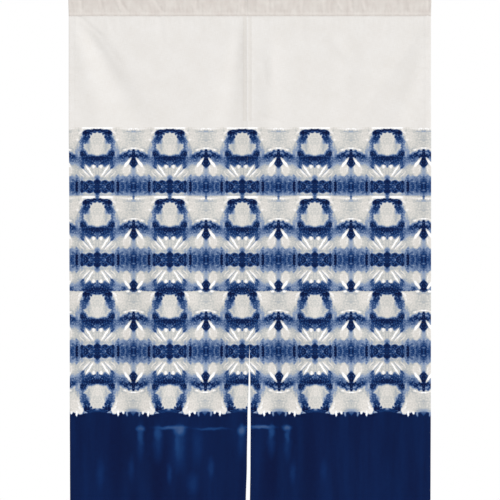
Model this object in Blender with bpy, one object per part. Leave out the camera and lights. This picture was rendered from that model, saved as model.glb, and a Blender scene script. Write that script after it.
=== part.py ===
"""Noren: a split door curtain of cotton, hanging from a rod sleeve along its top edge.

Two hemmed panels meet in a seam down the middle and part below it in a slit. A strip folded
double makes the sleeve, and its two lips hold the top edge of each panel. The seam runs on up
through the sleeve, so each half of it is a piece of its own.

Metres, +Z up. x runs to the right of someone facing the front, which looks towards -y. The
origin is the middle of the top edge. A drop is a distance down from that edge.
"""
import math
from collections import namedtuple

import bpy

# Cloth
CLOTH = 0.0012
HEM_EXTRA = 0.0008
HEM_STEP = 0.0015
SIDE_HEM = 0.016
INNER_HEM = 0.011
FOOT_HEM = 0.024
GAP = 0.0003

# Drops of the curtain's parts
HEADING_DROP = 0.050
LIP_DROP = 0.042
PANEL_TOP_DROP = 0.044
CREASED_DROP = 0.320
FOOT_DROP = 1.200

# Rod sleeve: how deep it stands open, and the facets and stations of its mesh
SLEEVE_DEPTH = 0.018
SLEEVE_TOP_FACETS = 10
SLEEVE_WALL_FACETS = 4
SLEEVE_STATIONS = 34

# Panel grid, with closer rows where the small creases are
PANEL_COLUMNS = 20
CREASED_ROWS = 14
PLAIN_ROWS = 24

# The drops between which the folds grow, under the stitching that holds the cloth flat
FOLD_START = 0.052
FOLD_FULL = 0.110

SHARP_ANGLE = math.radians(40)

# Left and right edges of each panel at a few drops. The panels share the seam down to the
# slit, where their edges part.
Edges = namedtuple("Edges", "drop left_outer left_inner right_inner right_outer")
OUTLINE = [
    Edges(0.000, -0.4262, -0.0061, -0.0061, 0.4256),
    Edges(0.313, -0.4262, -0.0061, -0.0061, 0.4256),
    Edges(0.560, -0.4254, -0.0042, -0.0042, 0.4254),
    Edges(0.818, -0.4244, -0.0014, -0.0014, 0.4250),
    Edges(0.906, -0.4240, -0.0031, 0.0006, 0.4248),
    Edges(1.000, -0.4238, -0.0058, 0.0014, 0.4247),
    Edges(1.100, -0.4234, -0.0072, 0.0009, 0.4246),
    Edges(1.200, -0.4230, -0.0098, -0.0003, 0.4244),
]

# Soft folds of the hanging cloth, each along a line from its top to its foot. A positive
# depth is a trough, seen from the front, and a negative one is a ridge.
Fold = namedtuple("Fold", "top_x top_drop foot_x foot_drop top_width foot_width depth")
FOLDS = [
    Fold(-0.398, 0.050, -0.236, 0.360, 0.012, 0.054, 0.0068),
    Fold(-0.414, 0.060, -0.330, 0.420, 0.012, 0.040, -0.0026),
    Fold(-0.424, 0.330, -0.424, 0.960, 0.018, 0.030, 0.0044),
    Fold(-0.024, 0.070, -0.074, 0.520, 0.010, 0.052, 0.0054),
    Fold(0.052, 0.080, 0.036, 0.500, 0.018, 0.034, -0.0038),
    Fold(0.420, 0.110, 0.296, 0.430, 0.016, 0.036, -0.0040),
    Fold(0.412, 0.072, 0.196, 0.370, 0.012, 0.036, 0.0050),
    Fold(0.244, 0.090, 0.214, 0.300, 0.020, 0.030, 0.0026),
    Fold(0.416, 0.260, 0.404, 1.150, 0.020, 0.030, -0.0040),
    Fold(-0.300, 0.480, -0.318, 1.240, 0.030, 0.036, 0.0074),
    Fold(-0.214, 0.560, -0.218, 1.240, 0.028, 0.034, -0.0066),
    Fold(-0.092, 0.620, -0.084, 1.240, 0.030, 0.036, 0.0070),
    Fold(0.048, 0.700, 0.056, 1.240, 0.024, 0.028, 0.0056),
    Fold(0.140, 0.580, 0.148, 1.240, 0.028, 0.034, -0.0066),
    Fold(0.302, 0.640, 0.314, 1.240, 0.036, 0.044, 0.0064),
]
# A fold grows from a little above the top of its line to a little below it, and fades from
# above its foot to below it
FOLD_LEAD_IN = 0.030
FOLD_RISE = 0.090
FOLD_FADE = 0.180
FOLD_RUN_ON = 0.090

# Creases of the sleeve's walls, between its top fold and its lips. A positive depth is a
# trough, seen from outside.
Crease = namedtuple("Crease", "top_x lip_x width depth")
FRONT_CREASES = [
    Crease(-0.396, -0.395, 0.008, 0.0016),
    Crease(-0.352, -0.346, 0.007, 0.0009),
    Crease(-0.322, -0.302, 0.007, -0.0009),
    Crease(-0.312, -0.288, 0.008, 0.0013),
    Crease(-0.262, -0.256, 0.009, 0.0008),
    Crease(-0.232, -0.205, 0.009, 0.0012),
    Crease(-0.176, -0.168, 0.010, 0.0007),
    Crease(-0.126, -0.124, 0.009, 0.0010),
    Crease(-0.060, -0.066, 0.016, -0.0007),
    Crease(-0.013, -0.015, 0.007, 0.0016),
    Crease(0.018, 0.015, 0.009, -0.0010),
    Crease(0.045, 0.044, 0.007, 0.0013),
    Crease(0.090, 0.072, 0.009, -0.0009),
    Crease(0.118, 0.104, 0.008, 0.0009),
    Crease(0.168, 0.170, 0.008, -0.0011),
    Crease(0.192, 0.218, 0.009, -0.0009),
    Crease(0.236, 0.241, 0.008, 0.0014),
    Crease(0.256, 0.270, 0.008, -0.0011),
    Crease(0.345, 0.340, 0.011, 0.0008),
    Crease(0.418, 0.420, 0.006, 0.0012),
]
BACK_CREASES = [
    Crease(-0.372, -0.380, 0.010, 0.0009),
    Crease(-0.270, -0.262, 0.012, -0.0008),
    Crease(-0.150, -0.160, 0.010, 0.0010),
    Crease(-0.040, -0.034, 0.010, -0.0008),
    Crease(0.080, 0.088, 0.010, 0.0010),
    Crease(0.205, 0.196, 0.012, -0.0008),
    Crease(0.310, 0.318, 0.010, 0.0009),
]

# Where a crease starts, is full, starts to fade and ends, as shares of the way to the lips
CREASE_START = 0.05
CREASE_FULL = 0.45
CREASE_FADE = 0.70
CREASE_END = 1.00

# Materials, with linear colours
INDIGO_PRINT = (0.150, 0.205, 0.330, 1.0)
UNDYED_COTTON = (0.700, 0.658, 0.620, 1.0)
COTTON_ROUGHNESS = 0.9


def ramp(value, start, end):
    """0 before start, 1 past end, and an even S between them."""
    share = min(max((value - start) / (end - start), 0.0), 1.0)
    return share * share * (3.0 - 2.0 * share)


def mix(first, second, share):
    return first + (second - first) * share


def spread(start, end, steps):
    return [mix(start, end, i / steps) for i in range(steps + 1)]


def edges_of(side, drop):
    """The x of one side's outer edge and of its edge at the seam or slit, eased between rows."""
    for above, below in zip(OUTLINE, OUTLINE[1:]):
        if drop <= below.drop:
            break
    share = ramp(drop, above.drop, below.drop)
    outer = mix(getattr(above, side + "_outer"), getattr(below, side + "_outer"), share)
    inner = mix(getattr(above, side + "_inner"), getattr(below, side + "_inner"), share)
    half_gap = GAP / 2
    return outer, inner - half_gap if side == "left" else inner + half_gap


def fold_depth(x, drop):
    """How far the cloth stands back from the plane of the curtain at a point."""
    total = 0.0
    for fold in FOLDS:
        along = (drop - fold.top_drop) / (fold.foot_drop - fold.top_drop)
        middle = mix(fold.top_x, fold.foot_x, along)
        width = mix(fold.top_width, fold.foot_width, min(max(along, 0.0), 1.0))
        grown = ramp(drop, fold.top_drop - FOLD_LEAD_IN, fold.top_drop + FOLD_RISE)
        faded = ramp(drop, fold.foot_drop - FOLD_FADE, fold.foot_drop + FOLD_RUN_ON)
        total += fold.depth * grown * (1.0 - faded) * math.exp(-((x - middle) / width) ** 2)
    return total * ramp(drop, FOLD_START, FOLD_FULL)


def new_object(name, points, faces, colour):
    mesh = bpy.data.meshes.new(name)
    mesh.from_pydata(points, [], faces)
    mesh.shade_smooth()
    mesh.set_sharp_from_angle(angle=SHARP_ANGLE)
    material = bpy.data.materials.new(name)
    material.use_nodes = True
    shader = material.node_tree.nodes["Principled BSDF"]
    shader.inputs["Base Color"].default_value = colour
    shader.inputs["Roughness"].default_value = COTTON_ROUGHNESS
    shader.inputs["Metallic"].default_value = 0.0
    mesh.materials.append(material)
    bpy.context.scene.collection.objects.link(bpy.data.objects.new(name, mesh))


def panel_columns(outer, inner):
    """The x of each grid column at one drop, with a pair of columns at each hem's step."""
    way = math.copysign(1.0, inner - outer)
    outer_hem = outer + way * SIDE_HEM
    inner_hem = inner - way * INNER_HEM
    step = way * HEM_STEP
    field = spread(outer_hem + step, inner_hem - step, PANEL_COLUMNS)
    return [outer, mix(outer, outer_hem, 0.5), outer_hem] + field + [inner_hem, inner]


def hem_share(x, drop, outer, inner):
    """1 where a hem is turned behind the cloth, 0 elsewhere, with a short step between."""
    at_side = 1.0 - ramp(abs(x - outer), SIDE_HEM, SIDE_HEM + HEM_STEP)
    at_slit = 1.0 - ramp(abs(x - inner), INNER_HEM, INNER_HEM + HEM_STEP)
    foot_line = FOOT_DROP - FOOT_HEM
    at_foot = ramp(drop, foot_line - HEM_STEP, foot_line)
    below_heading = ramp(drop, HEADING_DROP, HEADING_DROP + HEM_STEP)
    return max(at_side, at_slit, at_foot) * below_heading


def sheet_faces(rows, columns):
    """Quads of a sheet's front grid, back grid and rim."""
    back = rows * columns
    faces = []
    for row in range(rows - 1):
        for column in range(columns - 1):
            corner = row * columns + column
            square = [corner, corner + columns, corner + columns + 1, corner + 1]
            faces.append(square)
            faces.append([point + back for point in reversed(square)])
    rim = list(range(columns))
    rim += [row * columns + columns - 1 for row in range(1, rows)]
    rim += [(rows - 1) * columns + column for column in reversed(range(columns - 1))]
    rim += [row * columns for row in reversed(range(1, rows - 1))]
    for first, second in zip(rim, rim[1:] + rim[:1]):
        faces.append([first, second, second + back, first + back])
    return faces


def turned(faces):
    """The same faces looking the other way, for the side whose columns run to the left."""
    return [face[::-1] for face in faces]


def make_panel(side):
    """A hung sheet with a front and a back face, thicker where it is hemmed."""
    foot_line = FOOT_DROP - FOOT_HEM
    drops = [PANEL_TOP_DROP] + spread(HEADING_DROP, CREASED_DROP, CREASED_ROWS)
    drops += spread(CREASED_DROP, foot_line - HEM_STEP, PLAIN_ROWS)[1:] + [foot_line, FOOT_DROP]
    front = []
    back = []
    for drop in drops:
        outer, inner = edges_of(side, drop)
        columns = panel_columns(outer, inner)
        for x in columns:
            face = fold_depth(x, drop) - CLOTH / 2
            thickness = CLOTH + HEM_EXTRA * hem_share(x, drop, outer, inner)
            front.append((x, face, -drop))
            back.append((x, face + thickness, -drop))
    faces = sheet_faces(len(drops), len(columns))
    new_object("panel_" + side, front + back, faces if side == "left" else turned(faces), INDIGO_PRINT)


def sleeve_half_profile():
    """(y, drop) of the sleeve's middle line, from its top fold down its back wall to the lip."""
    radius = SLEEVE_DEPTH / 2 - CLOTH / 2
    lip_y = CLOTH + GAP
    centre_drop = SLEEVE_DEPTH / 2
    lip_reach = math.hypot(lip_y, LIP_DROP - centre_drop)
    tangent = math.atan2(lip_y, LIP_DROP - centre_drop) + math.acos(radius / lip_reach)
    points = []
    for i in range(SLEEVE_TOP_FACETS + 1):
        angle = mix(math.pi, tangent, i / SLEEVE_TOP_FACETS)
        points.append((radius * math.sin(angle), centre_drop + radius * math.cos(angle)))
    start = points[-1]
    for i in range(1, SLEEVE_WALL_FACETS + 1):
        share = i / SLEEVE_WALL_FACETS
        points.append((mix(start[0], lip_y, share), mix(start[1], LIP_DROP, share)))
    points.append((lip_y, HEADING_DROP))
    return points


def crease_depth(creases, x, drop):
    """How far a sleeve wall is pressed in, fading out at the top fold and at the lips."""
    share = drop / LIP_DROP
    held = ramp(share, CREASE_START, CREASE_FULL) * (1.0 - ramp(share, CREASE_FADE, CREASE_END))
    total = 0.0
    for crease in creases:
        middle = mix(crease.top_x, crease.lip_x, share)
        total += crease.depth * math.exp(-((x - middle) / (crease.width / 2)) ** 2)
    return total * held


def sleeve_section(side, station, middle):
    """One closed ring of the sleeve's cloth, its outside from lip to lip and its inside back."""
    outside = []
    inside = []
    for i, (y, drop) in enumerate(middle):
        before = middle[max(i - 1, 0)]
        after = middle[min(i + 1, len(middle) - 1)]
        run = math.hypot(after[0] - before[0], after[1] - before[1])
        out_y = (after[1] - before[1]) / run
        out_drop = (before[0] - after[0]) / run
        x = mix(*edges_of(side, drop), station)
        pressed = crease_depth(FRONT_CREASES if y < 0 else BACK_CREASES, x, drop)
        for ring, out in ((outside, CLOTH / 2 - pressed), (inside, -CLOTH / 2 - pressed)):
            ring.append((x, y + out_y * out, -(drop + out_drop * out)))
    return outside + inside[::-1]


def make_heading(side):
    """Half of the rod sleeve: cloth folded over into an upside-down U, open at both ends."""
    half = sleeve_half_profile()
    middle = [(-y, drop) for y, drop in reversed(half)] + half[1:]
    rings = [sleeve_section(side, station, middle) for station in spread(0.0, 1.0, SLEEVE_STATIONS)]
    size = len(rings[0])
    last = size * SLEEVE_STATIONS
    faces = []
    for start in range(0, last, size):
        for i in range(size):
            j = (i + 1) % size
            faces.append([start + i, start + j, start + size + j, start + size + i])
    for i in range(size // 2 - 1):
        end = [i, i + 1, size - 2 - i, size - 1 - i]
        faces.append(end[::-1])
        faces.append([last + corner for corner in end])
    points = [point for ring in rings for point in ring]
    new_object("heading_" + side, points, turned(faces) if side == "left" else faces, UNDYED_COTTON)


def main():
    for old in list(bpy.data.objects):
        bpy.data.objects.remove(old, do_unlink=True)
    for side in ("left", "right"):
        make_heading(side)
        make_panel(side)


main()
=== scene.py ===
import math
from collections import namedtuple

import bpy
import numpy as np
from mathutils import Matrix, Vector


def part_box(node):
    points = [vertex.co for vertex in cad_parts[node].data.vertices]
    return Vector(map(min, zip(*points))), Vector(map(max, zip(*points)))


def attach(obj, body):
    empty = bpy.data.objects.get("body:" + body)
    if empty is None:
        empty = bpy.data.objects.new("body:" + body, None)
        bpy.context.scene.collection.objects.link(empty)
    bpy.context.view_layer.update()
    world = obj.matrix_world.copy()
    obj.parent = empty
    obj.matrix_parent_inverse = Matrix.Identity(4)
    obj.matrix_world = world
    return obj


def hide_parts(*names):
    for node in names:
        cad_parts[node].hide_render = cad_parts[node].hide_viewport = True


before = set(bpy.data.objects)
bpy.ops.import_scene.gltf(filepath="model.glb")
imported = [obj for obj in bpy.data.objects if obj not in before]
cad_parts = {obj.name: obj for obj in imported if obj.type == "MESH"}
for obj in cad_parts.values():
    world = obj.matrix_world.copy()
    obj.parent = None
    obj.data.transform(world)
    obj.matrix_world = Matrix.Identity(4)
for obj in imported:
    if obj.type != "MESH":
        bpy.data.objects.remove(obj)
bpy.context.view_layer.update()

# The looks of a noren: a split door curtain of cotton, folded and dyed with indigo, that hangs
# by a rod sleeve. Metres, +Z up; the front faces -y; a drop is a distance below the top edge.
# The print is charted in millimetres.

TOP_EDGE = max(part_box(node)[1][2] for node in ("heading_left", "heading_right"))
FOOT_DROP = TOP_EDGE - min(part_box(node)[0][2] for node in ("panel_left", "panel_right"))

# Cloth, as it is under the 1.2 mm solids
CLOTH = 0.0007
HEM_EXTRA = 0.0007
HEM_RELIEF = 0.00016
HEM_STEP = 0.0015
SIDE_HEM = 0.016
INNER_HEM = 0.011
FOOT_HEM = 0.024
PIECE_GAP = 0.00004
EDGE_ROUNDING = 0.00035
EDGE_ROUNDING_REACH = 0.0004

# The raised centre seam, with its allowances pressed to either side
SEAM_RIDGE = 0.0006
SEAM_RIDGE_WIDTH = 0.0022
ALLOWANCE_RELIEF = 0.00028
ALLOWANCE_FADE = (0.002, 0.004)

# Uneven cloth and puckered sewing: how high it stands, and how far it reaches from its line.
# The heading holds the cloth flat down to a little below it.
HELD_FLAT = 0.012
UNEVENNESS = 0.0005
HEADING_PUCKER = 0.0006
HEADING_PUCKER_REACH = 0.020
SIDE_PUCKER = 0.0005
SIDE_PUCKER_REACH = 0.011
INNER_PUCKER = 0.0004
INNER_PUCKER_REACH = 0.009
FOOT_PUCKER = 0.0005
FOOT_PUCKER_REACH = 0.012
GROOVE_DEPTH = 0.00022
GROOVE_WIDTH = 0.0011

# Drops of the curtain's parts
HEADING_DROP = 0.050
LIP_DROP = 0.042
PANEL_TOP_DROP = 0.0435
HEADING_STITCH_DROP = 0.0468
SLIT_DROP = 0.818

# Rod sleeve
SLEEVE_DEPTH = 0.018
SLEEVE_TOP_FACETS = 16
SLEEVE_WALL_FACETS = 12
LIP_FACETS = 6
LIP_ROUNDING = 0.0004
LIP_ROUNDING_REACH = 0.0025
SLEEVE_STATIONS = 236

# Panel grid, with closer lines at the hems. Columns are measured in from each edge, and rows up
# from the foot.
FIELD_COLUMNS = 104
FIELD_ROWS = 286
FOOT_HEM_ROWS = (0.0255, 0.0240, 0.0225, 0.0210, 0.014, 0.007, 0.0008, 0.0)
SIDE_HEM_COLUMNS = (0.0, 0.0007, 0.004, 0.008, 0.0115, 0.0130, 0.0145, 0.0160, 0.0175)
INNER_HEM_COLUMNS = (0.0125, 0.0110, 0.0095, 0.0080, 0.0055, 0.0030, 0.0014, 0.0007, 0.0)

# Left and right edges of each panel at a few drops, as the solids have them
Edges = namedtuple("Edges", "drop left_outer left_inner right_inner right_outer")
OUTLINE = [
    Edges(0.000, -0.4262, -0.0061, -0.0061, 0.4256),
    Edges(0.313, -0.4262, -0.0061, -0.0061, 0.4256),
    Edges(0.560, -0.4254, -0.0042, -0.0042, 0.4254),
    Edges(0.818, -0.4244, -0.0014, -0.0014, 0.4250),
    Edges(0.906, -0.4240, -0.0031, 0.0006, 0.4248),
    Edges(1.000, -0.4238, -0.0058, 0.0014, 0.4247),
    Edges(1.100, -0.4234, -0.0072, 0.0009, 0.4246),
    Edges(1.200, -0.4230, -0.0098, -0.0003, 0.4244),
]

# Soft folds of the hanging cloth, the solids' own. A positive depth is a trough.
Fold = namedtuple("Fold", "top_x top_drop foot_x foot_drop top_width foot_width depth")
FOLDS = [
    Fold(-0.398, 0.050, -0.236, 0.360, 0.012, 0.054, 0.0068),
    Fold(-0.414, 0.060, -0.330, 0.420, 0.012, 0.040, -0.0026),
    Fold(-0.424, 0.330, -0.424, 0.960, 0.018, 0.030, 0.0044),
    Fold(-0.024, 0.070, -0.074, 0.520, 0.010, 0.052, 0.0054),
    Fold(0.052, 0.080, 0.036, 0.500, 0.018, 0.034, -0.0038),
    Fold(0.420, 0.110, 0.296, 0.430, 0.016, 0.036, -0.0040),
    Fold(0.412, 0.072, 0.196, 0.370, 0.012, 0.036, 0.0050),
    Fold(0.244, 0.090, 0.214, 0.300, 0.020, 0.030, 0.0026),
    Fold(0.416, 0.260, 0.404, 1.150, 0.020, 0.030, -0.0040),
    Fold(-0.300, 0.480, -0.318, 1.240, 0.030, 0.036, 0.0074),
    Fold(-0.214, 0.560, -0.218, 1.240, 0.028, 0.034, -0.0066),
    Fold(-0.092, 0.620, -0.084, 1.240, 0.030, 0.036, 0.0070),
    Fold(0.048, 0.700, 0.056, 1.240, 0.024, 0.028, 0.0056),
    Fold(0.140, 0.580, 0.148, 1.240, 0.028, 0.034, -0.0066),
    Fold(0.302, 0.640, 0.314, 1.240, 0.036, 0.044, 0.0064),
]
FOLD_LEAD_IN = 0.030
FOLD_RISE = 0.090
FOLD_FADE = 0.180
FOLD_RUN_ON = 0.090
FOLD_START = 0.052
FOLD_FULL = 0.110

# Small creases that the solids leave out, each along a straight line across a panel
Crease = namedtuple("Crease", "from_x from_drop to_x to_drop width depth")
CREASES = [
    Crease(-0.399, 0.053, -0.352, 0.094, 0.0042, 0.0011),
    Crease(-0.352, 0.094, -0.306, 0.158, 0.0075, 0.0009),
    Crease(-0.340, 0.056, -0.331, 0.092, 0.0060, -0.0005),
    Crease(-0.215, 0.058, -0.205, 0.110, 0.0090, 0.0006),
    Crease(0.031, 0.160, 0.038, 0.212, 0.0055, 0.0007),
    Crease(0.049, 0.150, 0.053, 0.186, 0.0070, -0.0008),
    Crease(0.031, 0.289, 0.073, 0.299, 0.0050, 0.0008),
    Crease(0.190, 0.100, 0.231, 0.146, 0.0120, -0.0009),
    Crease(0.121, 0.058, 0.124, 0.104, 0.0070, 0.0006),
    Crease(0.417, 0.055, 0.396, 0.094, 0.0055, -0.0009),
    Crease(0.330, 0.060, 0.318, 0.098, 0.0080, 0.0005),
]

# Creases of the sleeve's walls, from its top fold to its lips. The first are the solids' own.
SleeveCrease = namedtuple("SleeveCrease", "top_x lip_x width depth")
FRONT_CREASES = [
    SleeveCrease(-0.396, -0.395, 0.008, 0.0016),
    SleeveCrease(-0.352, -0.346, 0.007, 0.0009),
    SleeveCrease(-0.322, -0.302, 0.007, -0.0009),
    SleeveCrease(-0.312, -0.288, 0.008, 0.0013),
    SleeveCrease(-0.262, -0.256, 0.009, 0.0008),
    SleeveCrease(-0.232, -0.205, 0.009, 0.0012),
    SleeveCrease(-0.176, -0.168, 0.010, 0.0007),
    SleeveCrease(-0.126, -0.124, 0.009, 0.0010),
    SleeveCrease(-0.060, -0.066, 0.016, -0.0007),
    SleeveCrease(-0.013, -0.015, 0.007, 0.0016),
    SleeveCrease(0.018, 0.015, 0.009, -0.0010),
    SleeveCrease(0.045, 0.044, 0.007, 0.0013),
    SleeveCrease(0.090, 0.072, 0.009, -0.0009),
    SleeveCrease(0.118, 0.104, 0.008, 0.0009),
    SleeveCrease(0.168, 0.170, 0.008, -0.0011),
    SleeveCrease(0.192, 0.218, 0.009, -0.0009),
    SleeveCrease(0.236, 0.241, 0.008, 0.0014),
    SleeveCrease(0.256, 0.270, 0.008, -0.0011),
    SleeveCrease(0.345, 0.340, 0.011, 0.0008),
    SleeveCrease(0.418, 0.420, 0.006, 0.0012),
]
BACK_CREASES = [
    SleeveCrease(-0.372, -0.380, 0.010, 0.0009),
    SleeveCrease(-0.270, -0.262, 0.012, -0.0008),
    SleeveCrease(-0.150, -0.160, 0.010, 0.0010),
    SleeveCrease(-0.040, -0.034, 0.010, -0.0008),
    SleeveCrease(0.080, 0.088, 0.010, 0.0010),
    SleeveCrease(0.205, 0.196, 0.012, -0.0008),
    SleeveCrease(0.310, 0.318, 0.010, 0.0009),
]
CREASE_START = 0.05
CREASE_FULL = 0.45
CREASE_FADE = 0.78
CREASE_LOST_AT_LIPS = 0.9
SLEEVE_PUCKER = 0.00022

# Fine creases of crumpled cotton, scattered along the sleeve
FINE_CREASES = 46
FINE_CREASE_SPAN = 0.42
FINE_CREASE_SCATTER = 0.008
FINE_CREASE_SLANT = 0.016
FINE_CREASE_DEPTHS = (0.00025, 0.00065)
FINE_CREASE_WIDTHS = (0.004, 0.009)

# Sewing
STITCH_PITCH = 0.0042
STITCH_LENGTH = 0.0031
THREAD_WIDTH = 0.00055
STITCH_FROM_EDGE = 0.0015
SEWN_SHORT = 0.002
THREAD_LIFT = 0.2
AHEAD = 0.0005


def ramp(value, start, end):
    """0 before start, 1 past end, and an even S between them."""
    share = np.clip((value - start) / (end - start), 0.0, 1.0)
    return share * share * (3.0 - 2.0 * share)


def mix(first, second, share):
    return first + (second - first) * share


def bump(distance, width):
    """A bell that is 1 on a line and fades to either side of it."""
    return np.exp(-(distance / width) ** 2)


def edges_of(side, drop):
    """The x of a side's outer edge and of its edge at the seam or slit, at each drop."""
    drops = np.array([row.drop for row in OUTLINE])
    above = np.clip(np.searchsorted(drops, drop) - 1, 0, len(drops) - 2)
    share = ramp(drop, drops[above], drops[above + 1])
    found = []
    for column in (side + "_outer", side + "_inner"):
        across = np.array([getattr(row, column) for row in OUTLINE])
        found.append(mix(across[above], across[above + 1], share))
    half_gap = PIECE_GAP / 2 * (-1.0 if side == "left" else 1.0)
    return found[0], found[1] + half_gap


def fold_depth(x, drop):
    """How far the cloth stands back from the curtain's plane: the solids' folds."""
    total = np.zeros_like(x)
    for fold in FOLDS:
        along = (drop - fold.top_drop) / (fold.foot_drop - fold.top_drop)
        middle = mix(fold.top_x, fold.foot_x, along)
        width = mix(fold.top_width, fold.foot_width, np.clip(along, 0.0, 1.0))
        grown = ramp(drop, fold.top_drop - FOLD_LEAD_IN, fold.top_drop + FOLD_RISE)
        faded = ramp(drop, fold.foot_drop - FOLD_FADE, fold.foot_drop + FOLD_RUN_ON)
        total += fold.depth * grown * (1.0 - faded) * bump(x - middle, width)
    return total * ramp(drop, FOLD_START, FOLD_FULL)


def crease_depth(x, drop):
    """The small creases, each a soft groove or ridge round its line."""
    total = np.zeros_like(x)
    for crease in CREASES:
        run_x = crease.to_x - crease.from_x
        run_drop = crease.to_drop - crease.from_drop
        share = ((x - crease.from_x) * run_x + (drop - crease.from_drop) * run_drop)
        share = np.clip(share / (run_x ** 2 + run_drop ** 2), 0.0, 1.0)
        away = np.hypot(x - crease.from_x - share * run_x, drop - crease.from_drop - share * run_drop)
        total += crease.depth * bump(away, crease.width)
    return total


def pucker(along, *waves):
    """Uneven gathers along a seam: waves of unlike lengths that never line up."""
    total = 0.0
    for number, wave in enumerate(waves):
        total = total + np.sin(2 * math.pi * along / wave + 1.7 * number + 0.4)
    return total / len(waves)


def hem_share(x, drop, outer, inner):
    """1 where a hem is turned behind the cloth, 0 elsewhere, with a short step between."""
    at_side = 1.0 - ramp(abs(x - outer), SIDE_HEM, SIDE_HEM + HEM_STEP)
    at_slit = 1.0 - ramp(abs(x - inner), INNER_HEM, INNER_HEM + HEM_STEP)
    foot_line = FOOT_DROP - FOOT_HEM
    at_foot = ramp(drop, foot_line - HEM_STEP, foot_line)
    below_heading = ramp(drop, HEADING_DROP, HEADING_DROP + HEM_STEP)
    return np.maximum(np.maximum(at_side, at_slit), at_foot) * below_heading


def panel_surface(side, x, drop):
    """The y of a panel's front and back faces."""
    outer, inner = edges_of(side, drop)
    from_outer = abs(x - outer)
    from_inner = abs(x - inner)
    from_foot = FOOT_DROP - drop
    free = ramp(drop, HEADING_DROP, HEADING_DROP + HELD_FLAT)
    middle = fold_depth(x, drop) + crease_depth(x, drop)
    middle += UNEVENNESS * free * (np.sin(37 * x + 9 * drop) + np.sin(23 * drop - 31 * x + 2.0)) / 2
    near_heading = np.exp(-(drop - HEADING_DROP) / HEADING_PUCKER_REACH)
    middle += HEADING_PUCKER * free * pucker(x, 0.031, 0.019, 0.0117) * near_heading
    hem_waves = pucker(drop, 0.043, 0.0261, 0.0152)
    middle += SIDE_PUCKER * free * hem_waves * bump(from_outer - SIDE_HEM, SIDE_PUCKER_REACH)
    middle += INNER_PUCKER * free * hem_waves * bump(from_inner - INNER_HEM, INNER_PUCKER_REACH)
    middle += FOOT_PUCKER * pucker(x, 0.047, 0.0283, 0.0171) * bump(FOOT_HEM - from_foot, FOOT_PUCKER_REACH)
    hem = hem_share(x, drop, outer, inner)
    front = middle - CLOTH / 2 - HEM_RELIEF * hem
    back = middle + CLOTH / 2 + HEM_EXTRA * hem
    seamed = (1.0 - ramp(drop, SLIT_DROP - 0.010, SLIT_DROP)) * free
    allowance_ends = ramp(from_inner, INNER_HEM - ALLOWANCE_FADE[0], INNER_HEM + ALLOWANCE_FADE[1])
    raised = SEAM_RIDGE * bump(from_inner, SEAM_RIDGE_WIDTH) + ALLOWANCE_RELIEF * (1.0 - allowance_ends)
    front -= seamed * raised
    slit_row = 1.0 - 0.8 * seamed
    stitched = ((from_outer, SIDE_HEM, 1.0), (from_inner, INNER_HEM, slit_row), (from_foot, FOOT_HEM, 1.0))
    for away, line, share in stitched:
        groove = GROOVE_DEPTH * share * free * bump(away - (line - STITCH_FROM_EDGE), GROOVE_WIDTH)
        front += groove
        back -= groove
    rounding = EDGE_ROUNDING * bump(np.minimum(from_outer, from_foot), EDGE_ROUNDING_REACH)
    rounding += EDGE_ROUNDING * (1.0 - seamed) * bump(from_inner, EDGE_ROUNDING_REACH)
    rounding = np.minimum(rounding, (back - front) * 0.35)
    return front + rounding, back - rounding


def cloth_mesh(name, points, faces, flat):
    """A piece from its points, faces and flat cloth coordinates, which become its UV map."""
    mesh = bpy.data.meshes.new(name)
    mesh.from_pydata(points.tolist(), [], faces)
    mesh.shade_smooth()
    corners = np.empty(len(mesh.loops), dtype=np.int32)
    mesh.loops.foreach_get("vertex_index", corners)
    layer = mesh.uv_layers.new(name="cloth")
    layer.data.foreach_set("uv", flat[corners].ravel())
    made = bpy.data.objects.new(name, mesh)
    bpy.context.scene.collection.objects.link(made)
    return made


def grid_quads(rows, columns, start=0):
    """The quads of a grid of points, row by row."""
    corner = start + (np.arange(rows - 1)[:, None] * columns + np.arange(columns - 1)).ravel()
    return np.stack([corner, corner + columns, corner + columns + 1, corner + 1], axis=1)


def hung_sheet(name, x, drop, front, back, flat_x, turn):
    """A closed sheet between a front and a back grid, with a rim of quads round its edge."""
    rows, columns = x.shape
    size = rows * columns
    faces = [np.stack([x, front, TOP_EDGE - drop], axis=2).reshape(-1, 3)]
    faces.append(np.stack([x, back, TOP_EDGE - drop], axis=2).reshape(-1, 3))
    index = np.arange(size).reshape(rows, columns)
    rim = np.concatenate([index[0], index[1:, -1], index[-1, -2::-1], index[-2:0:-1, 0]])
    after = np.roll(rim, -1)
    quads = np.concatenate([grid_quads(rows, columns), grid_quads(rows, columns, size)[:, ::-1],
                            np.stack([rim, after, after + size, rim + size], axis=1)])
    flat = np.stack([flat_x, -drop], axis=2).reshape(-1, 2)
    facing = quads[:, ::-1] if turn else quads
    return cloth_mesh(name, np.concatenate(faces), facing.tolist(), np.concatenate([flat, flat]))


def make_panel(side):
    """One panel, on its solid's folds, with hems, puckered seams and small creases."""
    drop = np.concatenate([
        [PANEL_TOP_DROP, HEADING_DROP, HEADING_DROP + HEM_STEP],
        np.linspace(HEADING_DROP + 2 * HEM_STEP, FOOT_DROP - 0.028, FIELD_ROWS),
        FOOT_DROP - np.array(FOOT_HEM_ROWS)])
    outer, inner = edges_of(side, drop)
    way = 1.0 if side == "left" else -1.0
    outer_spots = way * np.array(SIDE_HEM_COLUMNS)
    inner_spots = -way * np.array(INNER_HEM_COLUMNS)
    share = np.linspace(0.0, 1.0, FIELD_COLUMNS + 2)[1:-1]
    field = mix(outer[:, None] + outer_spots[-1], inner[:, None] + inner_spots[0], share)
    x = np.concatenate([outer[:, None] + outer_spots, field, inner[:, None] + inner_spots], axis=1)
    drop = np.repeat(drop[:, None], x.shape[1], axis=1)
    front, back = panel_surface(side, x, drop)
    flat_x = flat_position(side, x, drop)
    return hung_sheet(f"panel_{side}_cloth", x, drop, front, back, flat_x, side == "right")


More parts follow.
